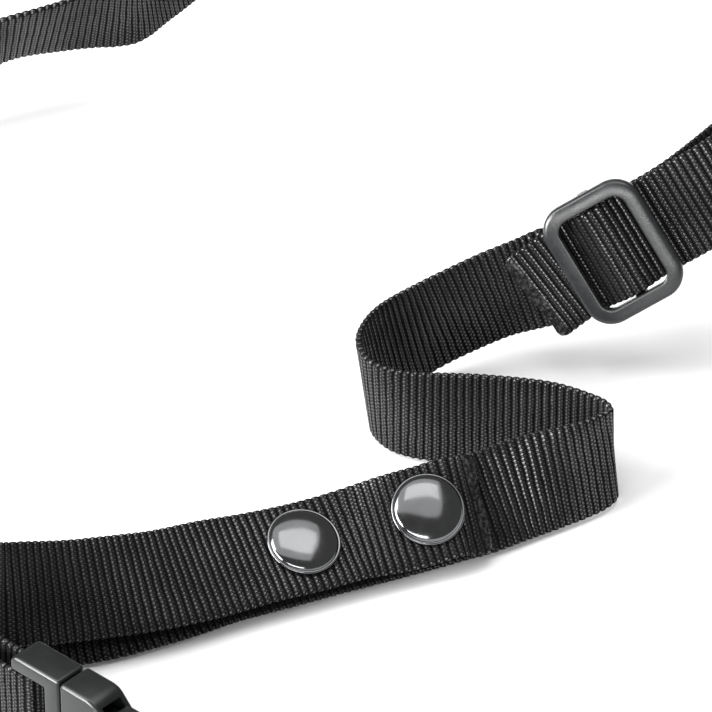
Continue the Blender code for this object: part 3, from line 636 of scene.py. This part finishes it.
class Look:
    """A procedural material, and short ways to add and join its nodes."""

    def __init__(self, name, **sockets):
        self.material = bpy.data.materials.new(name)
        self.material.use_nodes = True
        self.tree = self.material.node_tree
        self.shader = self.tree.nodes["Principled BSDF"]
        for socket, value in sockets.items():
            self.shader.inputs[socket.replace("_", " ")].default_value = value

    def node(self, kind, **settings):
        made = self.tree.nodes.new("ShaderNode" + kind)
        for key, value in settings.items():
            setattr(made, key, value)
        return made

    def put(self, socket, value):
        """Joins an output to a socket, or sets a plain value on it."""
        if hasattr(value, "is_output"):
            self.tree.links.new(value, socket)
        else:
            socket.default_value = value

    def math(self, operation, *values):
        made = self.node("Math", operation=operation)
        for socket, value in zip(made.inputs, values):
            self.put(socket, value)
        return made.outputs[0]

    def noise(self, scale, detail=3.0, vector=None, roughness=0.55):
        made = self.node("TexNoise")
        made.inputs["Scale"].default_value = scale
        made.inputs["Detail"].default_value = detail
        made.inputs["Roughness"].default_value = roughness
        if vector is None:
            vector = self.node("TexCoord").outputs["Object"]
        self.put(made.inputs["Vector"], vector)
        return made.outputs["Fac"]

    def ramp(self, value, *stops):
        made = self.node("ValToRGB")
        elements = made.color_ramp.elements
        while len(elements) < len(stops):
            elements.new(0.5)
        for element, (position, color) in zip(elements, stops):
            element.position = position
            element.color = (*color, 1.0)
        self.put(made.inputs["Fac"], value)
        return made.outputs["Color"]

    def map_range(self, value, low, high, to_low=0.0, to_high=1.0):
        made = self.node("MapRange")
        for socket, number in zip(made.inputs, (value, low, high, to_low, to_high)):
            self.put(socket, number)
        return made.outputs[0]

    def bump(self, height, distance, strength=1.0, under=None):
        made = self.node("Bump")
        made.inputs["Strength"].default_value = strength
        made.inputs["Distance"].default_value = distance
        self.put(made.inputs["Height"], height)
        if under:
            self.put(made.inputs["Normal"], under)
        return made.outputs["Normal"]

    def finish(self, color=None, roughness=None, normal=None):
        for socket, value in (("Base Color", color), ("Roughness", roughness), ("Normal", normal)):
            if value is not None:
                self.put(self.shader.inputs[socket], value)
        return self.material


def webbing_look():
    """Rep-woven nylon: two columns of yarns on each cross rib, every other yarn low, and painted shade that darkens
    the grooves between ribs and the low yarns.
    """
    look = Look("webbing_weave", Specular_IOR_Level=0.12, Coat_Roughness=0.26, Coat_IOR=1.8, Sheen_Weight=0.01)
    weave = look.node("Attribute", attribute_name="weave")
    parts = look.node("SeparateXYZ")
    look.put(parts.inputs[0], weave.outputs["Vector"])
    melted = parts.outputs[2]

    # which rib and which yarn this is, and how far from their middles
    wobble = look.math("MULTIPLY", look.math("SUBTRACT", look.noise(420.0, 1.0), 0.5), 0.3)
    along = look.math("ADD", parts.outputs[0], wobble)
    sideways = look.math("ADD", parts.outputs[1], look.math("MULTIPLY", wobble, 1.2))
    rib = look.math("ROUND", along)
    in_rib = look.math("SUBTRACT", along, rib)
    from_rib = look.math("ABSOLUTE", in_rib)
    sideways = look.math("ADD", sideways, look.math("MULTIPLY", from_rib, YARN_LEAN))
    yarn = look.math("ROUND", sideways)
    in_yarn = look.math("SUBTRACT", sideways, yarn)

    # how high the yarn stands here
    over = look.math("PINGPONG", look.math("ADD", look.math("LESS_THAN", in_rib, 0.0), yarn), 1.0)
    from_column = look.math("SUBTRACT", from_rib, YARN_COLUMN)
    crest = look.math("COSINE", look.math("MULTIPLY", from_column, YARN_NARROWNESS * math.pi))
    crest = look.math("POWER", look.math("MAXIMUM", crest, 0.0), 0.8)
    dome = look.math("COSINE", look.math("MULTIPLY", in_yarn, math.pi * 0.95))
    lift = look.math("ADD", look.math("MULTIPLY", over, 0.5), 0.5)
    height = look.math("MULTIPLY", look.math("MULTIPLY", crest, lift), look.math("ADD", dome, 0.2))

    # fine filaments, patches that are lighter or darker, and the melted band's fuzz in place of ribs
    strands = look.node("CombineXYZ")
    look.put(strands.inputs[0], look.math("MULTIPLY", along, 1.6))
    look.put(strands.inputs[1], look.math("MULTIPLY", sideways, 7.0))
    filament = look.noise(1.0, 2.0, strands.outputs[0])
    uneven = look.noise(90.0, 4.0)
    fuzz = look.map_range(look.noise(1400.0, 3.0), 0.35, 0.65, 0.1, 1.2)
    sealed = look.math("MINIMUM", look.math("MULTIPLY", melted, SEALED_SHARPNESS), 1.0)
    whole = look.math("SUBTRACT", 1.0, sealed)
    fuzz = look.math("MULTIPLY", fuzz, sealed)

    # colour, gloss and relief: the colour is painted shade, darker where the yarns stand lower (in the grooves and on
    # the low yarns), over the yarns' own uneven tone
    tone_and_painted_shade = look.math("MULTIPLY", height, look.map_range(uneven, 0.3, 0.7, 0.75, 1.15))
    tone_and_painted_shade = look.math("MULTIPLY", tone_and_painted_shade, look.map_range(filament, 0.3, 0.7, 0.6, 1.25))
    tone_and_painted_shade = look.math("ADD", look.math("MULTIPLY", tone_and_painted_shade, whole), look.math("MULTIPLY", fuzz, 0.75))
    # painted shade: near black in the grooves and on the low yarns, lighter on the crests
    color = look.ramp(
        tone_and_painted_shade, (0.0, (0.0009, 0.0009, 0.0009)), (0.35, (0.0022, 0.0023, 0.0022)),
        (0.7, (0.0072, 0.0075, 0.0074)), (1.0, (0.023, 0.0238, 0.0236)),
    )
    rough = look.map_range(height, 0.0, 1.0, 0.85, 0.45)
    look.put(look.shader.inputs["Coat Weight"], look.map_range(tone_and_painted_shade, 0.3, 0.8, 0.0, 1.0))
    fine = look.bump(filament, 0.00003, 0.5)
    hump = look.math("COSINE", look.math("MULTIPLY", in_rib, math.pi))
    relief = look.math("ADD", look.math("MULTIPLY", height, 0.85), look.math("MULTIPLY", hump, 0.45))
    relief = look.math("ADD", look.math("MULTIPLY", relief, whole), fuzz)
    normal = look.bump(relief, 0.0003, 1.0, fine)
    return look.finish(color, rough, normal)


def plastic_look(name, dark, light, low_rough, high_rough, grain, depth):
    """Moulded plastic: faint mottling, a fine spark-eroded grain and slightly uneven gloss."""
    look = Look(name, Specular_IOR_Level=0.5)
    mottle = look.noise(60.0, 5.0)
    color = look.ramp(mottle, (0.3, dark), (0.7, light))
    rough = look.map_range(look.noise(240.0, 4.0), 0.3, 0.7, low_rough, high_rough)
    normal = look.bump(look.noise(grain, 3.0, roughness=0.7), depth, 0.6)
    return look.finish(color, rough, normal)


def cap_look():
    """Black-plated brass: glossy, with the faintest waviness and handling marks."""
    look = Look("cap_enamel", Metallic=1.0)
    color = look.ramp(look.noise(140.0, 4.0), (0.35, (0.135, 0.137, 0.14)), (0.7, (0.155, 0.157, 0.16)))
    rough = look.map_range(look.noise(500.0, 6.0, roughness=0.75), 0.35, 0.75, 0.10, 0.21)
    normal = look.bump(look.noise(220.0, 2.0), 0.00002, 0.25)
    return look.finish(color, rough, normal)


def steel_look():
    """The snaps' hidden halves: dark plated steel."""
    look = Look("snap_steel", Metallic=1.0)
    color = look.ramp(look.noise(300.0, 5.0), (0.3, (0.03, 0.03, 0.032)), (0.75, (0.075, 0.075, 0.078)))
    rough = look.map_range(look.noise(700.0, 4.0), 0.3, 0.7, 0.28, 0.45)
    return look.finish(color, rough, look.bump(look.noise(900.0, 2.0), 0.00001, 0.4))


def floor_look():
    look = Look("studio_floor", Specular_IOR_Level=0.2)
    color = look.ramp(look.noise(3.0, 2.0), (0.3, (0.86, 0.86, 0.865)), (0.7, (0.88, 0.88, 0.885)))
    return look.finish(color, 0.55)


# ---- Pieces ----------------------------------------------------------------------------------------------------


def harness_side(side):
    """One side's webbing, flap, snaps, slide and buckle."""
    name = side["name"]
    fold, route, hinge, snap_indices = side_route(side)
    lengths = arc_length(route)
    hinge_at = lengths[len(fold) - 1 - hinge]
    split = (math.ceil((hinge_at + FLAP_LEAD) / RIB_PITCH) + 0.5) * RIB_PITCH
    web = ribbon(name + "_strap", route, split - 0.01, lengths[-1], looks["webbing"], ragged=(-1,))
    flap = ribbon(name + "_flap", route, 0.0, split + 0.01, looks["webbing"], ragged=(0,))
    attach(web, name + "_end")
    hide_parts(name + "_lug_webbing")
    heading, _, _ = directions(fold)
    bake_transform(flap)
    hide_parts(name + "_snap_flap")
    for label, index in zip(("inner", "outer"), snap_indices):
        cap(name, label, snap_place(fold, index))
    triglide(side)
    buckle(side)


def snap_place(stations, index):
    """The middle of a snap: X along the webbing, Y across it and Z off its outer face."""
    heading, across, _ = directions(stations)
    middle = stations[index, :3] + SNAP_ABOVE * across[index]
    return frame(middle, heading[index], across[index])


def cap(side_name, label, place):
    """A press stud's cap: a shallow dome that turns over into a narrow rolled rim."""
    dome = [(0.0, CAP_SHOULDER + CAP_CROWN)]
    for share in np.linspace(0.12, 0.955, 14):
        radius = share * (CAP_RADIUS - 0.35)
        dome.append((radius, CAP_SHOULDER + CAP_CROWN * (1 - share**2.6) ** 0.75))
    rim = [
        (CAP_RADIUS - CAP_RIM + CAP_RIM * math.cos(a), 0.12 + CAP_RIM * math.sin(a))
        for a in np.radians([125, 95, 65, 35, 5, -25, -55, -85])
    ]
    profile = dome + rim + [CAP_FOOT, (0.0, CAP_FOOT[1])]
    base = WEB_THICK / 2 + CAP_GAP
    made = turned(f"{side_name}_{label}_cap", profile, looks["cap"], place @ Matrix.Translation((0, 0, base)))
    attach(made, side_name + "_flap")
    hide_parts(f"{side_name}_{label}_snap_cap")


def slide_ring(name, place):
    """The slide's frame. Its face falls away a little from the window, so that each bar catches its own light."""
    outer = rounded_rectangle(*TRIGLIDE_OUTER, TRIGLIDE_CORNER)
    inner = rounded_rectangle(*TRIGLIDE_WINDOW, TRIGLIDE_WINDOW_CORNER)
    shape = bmesh.new()
    rings = []
    for (x0, y0), (x1, y1) in zip(inner, outer):
        rings.append([
            shape.verts.new(((x0 + (x1 - x0) * t) * MM, (y0 + (y1 - y0) * t) * MM, (z + TRIGLIDE_RAISE) * MM))
            for t, z in SLIDE_SECTION
        ])
    count = len(SLIDE_SECTION)
    for one, two in zip(rings, rings[1:] + rings[:1]):
        for j in range(count):
            shape.faces.new((one[j], two[j], two[(j + 1) % count], one[(j + 1) % count]))
    bmesh.ops.recalc_face_normals(shape, faces=shape.faces)
    made = piece_from(name, shape, looks["triglide"], smooth_angle=50)
    made.matrix_world = in_world(place)
    return made


def triglide(side):
    """The slide: two cross bars in one plane and a middle bar set back behind them."""
    place = frame(side["triglide"], side["along"], side["across"])
    ring = slide_ring(side["name"] + "_slide", place)
    inner, outer = TRIGLIDE_WINDOW[1] / 2, TRIGLIDE_OUTER[1] / 2 - 0.4
    inside = TRIGLIDE_RAISE - TRIGLIDE_THICK / 4
    saddle = [
        (outer, inside), (outer, TRIGLIDE_BAR_LOW), (-outer, TRIGLIDE_BAR_LOW), (-outer, inside),
        (-inner, inside), (-inner, TRIGLIDE_BAR_HIGH), (inner, TRIGLIDE_BAR_HIGH), (inner, inside),
    ]
    upright = place @ Matrix.Rotation(math.radians(90), 4, "Z") @ Matrix.Rotation(math.radians(90), 4, "X")
    bar = plate(
        "tool", saddle, TRIGLIDE_BAR_WIDTH, looks["triglide"], upright, edge=TRIGLIDE_BAR_EDGE, segments=3
    )
    settle(bar)
    combine(ring, [bar], "UNION")
    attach(ring, side["name"] + "_slide")
    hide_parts(side["name"] + "_triglide")


def buckle(side):
    """The quick-release buckle: plug, two spring arms and socket, with rounded moulded edges."""
    name, place = side["name"], buckle_frame(side)
    bar_length = 2 * (BAR_HALF_SPAN + BAR_TUCK)
    plug = plate(
        name + "_plug", mirrored(PLUG_HALF), PLUG_THICK, looks["buckle"], place, edge=SHELL_EDGE, segments=5
    )
    settle(plug)
    turn = Matrix.Rotation(math.radians(90), 4, "X")
    bar = tool_rod(BAR_RADIUS, bar_length, place @ Matrix.Translation((PLUG_BAR_X, 0, 0)) @ turn)
    tongue = tool_box((TONGUE_ROOT, -TONGUE[1], -TONGUE[2]), TONGUE, place)
    combine(plug, [bar, tongue], "UNION")
    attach(plug, name + "_end")
    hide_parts(name + "_buckle_plug")

    for label, sign in (("upper", 1), ("lower", -1)):
        outline = [(x, sign * y) for x, y in eased(ARM_OUTLINE)]
        made = plate(
            f"{name}_{label}_arm", outline, PRONG_THICK, looks["buckle"], place, edge=ARM_EDGE, segments=3
        )
        settle(made)
        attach(made, f"{name}_{label}_arm")
        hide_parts(f"{name}_{label}_prong")

    sleeve = plate(
        name + "_socket", mirrored(SOCKET_HALF), SOCKET_THICK, looks["buckle"], place, edge=SHELL_EDGE, segments=5
    )
    settle(sleeve)
    hollow = plate("tool", mirrored(CHANNEL_OUTLINE), CHANNEL_THICK, looks["buckle"], place)
    combine(sleeve, [hollow], "DIFFERENCE")
    bar = tool_rod(BAR_RADIUS, bar_length, place @ Matrix.Translation((SOCKET_BAR_X, 0, 0)) @ turn)
    combine(sleeve, [bar], "UNION")
    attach(sleeve, "neck_strap")
    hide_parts(name + "_buckle_socket")


def neck():
    """The neck webbing, from one socket's bar to the other's."""
    route = neck_route()
    made = ribbon("neck_strap_webbing", route, 0.0, arc_length(route)[-1], looks["webbing"], ragged=(0, -1))
    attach(made, "neck_strap")
    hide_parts("neck_webbing")


# ---- Studio ----------------------------------------------------------------------------------------------------


def studio():
    """A pale floor, soft area lights and a dim white world."""
    shape = bmesh.new()
    bmesh.ops.create_grid(shape, x_segments=1, y_segments=1, size=3.0)
    floor = piece_from("studio_floor", shape, looks["floor"])
    floor.location = (0, 0, -0.0002)
    for label, place, aim, size, power in LIGHTS:
        light = bpy.data.lights.new(label, "AREA")
        light.shape = "RECTANGLE"
        light.size, light.size_y = size
        light.energy = power
        made = bpy.data.objects.new(label, light)
        made.location = place
        made.rotation_euler = (Vector(aim) - Vector(place)).to_track_quat("-Z", "Y").to_euler()
        bpy.context.scene.collection.objects.link(made)
    world = bpy.data.worlds.new("studio")
    world.use_nodes = True
    world.node_tree.nodes["Background"].inputs["Color"].default_value = (1.0, 1.0, 1.0, 1.0)
    world.node_tree.nodes["Background"].inputs["Strength"].default_value = WORLD_STRENGTH
    bpy.context.scene.world = world
    bpy.context.scene.view_settings.view_transform = "Standard"


def camera():
    """The photograph's viewpoint: 35 degrees above the floor, looking along +Y, from 1.2 m away."""
    lens = bpy.data.cameras.new("camera")
    lens.sensor_width = 36.0
    lens.lens = CAMERA_LENS
    lens.clip_start = 0.05
    made = bpy.data.objects.new("camera", lens)
    aim = Vector(LAYOUT_SHIFT) * MM
    made.location = aim + CAMERA_DISTANCE * Vector((0, -math.cos(CAMERA_ELEVATION), math.sin(CAMERA_ELEVATION)))
    made.rotation_euler = (math.pi / 2 - CAMERA_ELEVATION, 0, 0)
    bpy.context.scene.collection.objects.link(made)
    bpy.context.scene.camera = made


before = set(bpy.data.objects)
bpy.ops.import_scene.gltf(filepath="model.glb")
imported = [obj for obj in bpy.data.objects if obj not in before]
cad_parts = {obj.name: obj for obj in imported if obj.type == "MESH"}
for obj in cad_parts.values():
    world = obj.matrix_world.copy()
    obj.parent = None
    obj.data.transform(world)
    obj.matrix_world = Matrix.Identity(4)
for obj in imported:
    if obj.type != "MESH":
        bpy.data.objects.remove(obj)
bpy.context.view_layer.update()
camera()
looks = {
    "webbing": webbing_look(),
    "triglide": plastic_look(
        "slide_satin", (0.012, 0.0126, 0.0132), (0.017, 0.0176, 0.0184), 0.22, 0.31, 2600.0, 0.00003
    ),
    "cap": cap_look(),
    "steel": steel_look(),
    "buckle": plastic_look(
        "buckle_plastic", (0.0040, 0.0046, 0.0048), (0.0062, 0.0068, 0.0071), 0.28, 0.38, 1500.0, 0.000012
    ),
    "floor": floor_look(),
}
studio()
for one_side in (RIGHT_SIDE, LEFT_SIDE):
    harness_side(one_side)
neck()
for node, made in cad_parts.items():
    if node.endswith(("_snap_socket", "_snap_stud", "_snap_post")):
        for slot in made.material_slots:
            slot.material = looks["steel"]
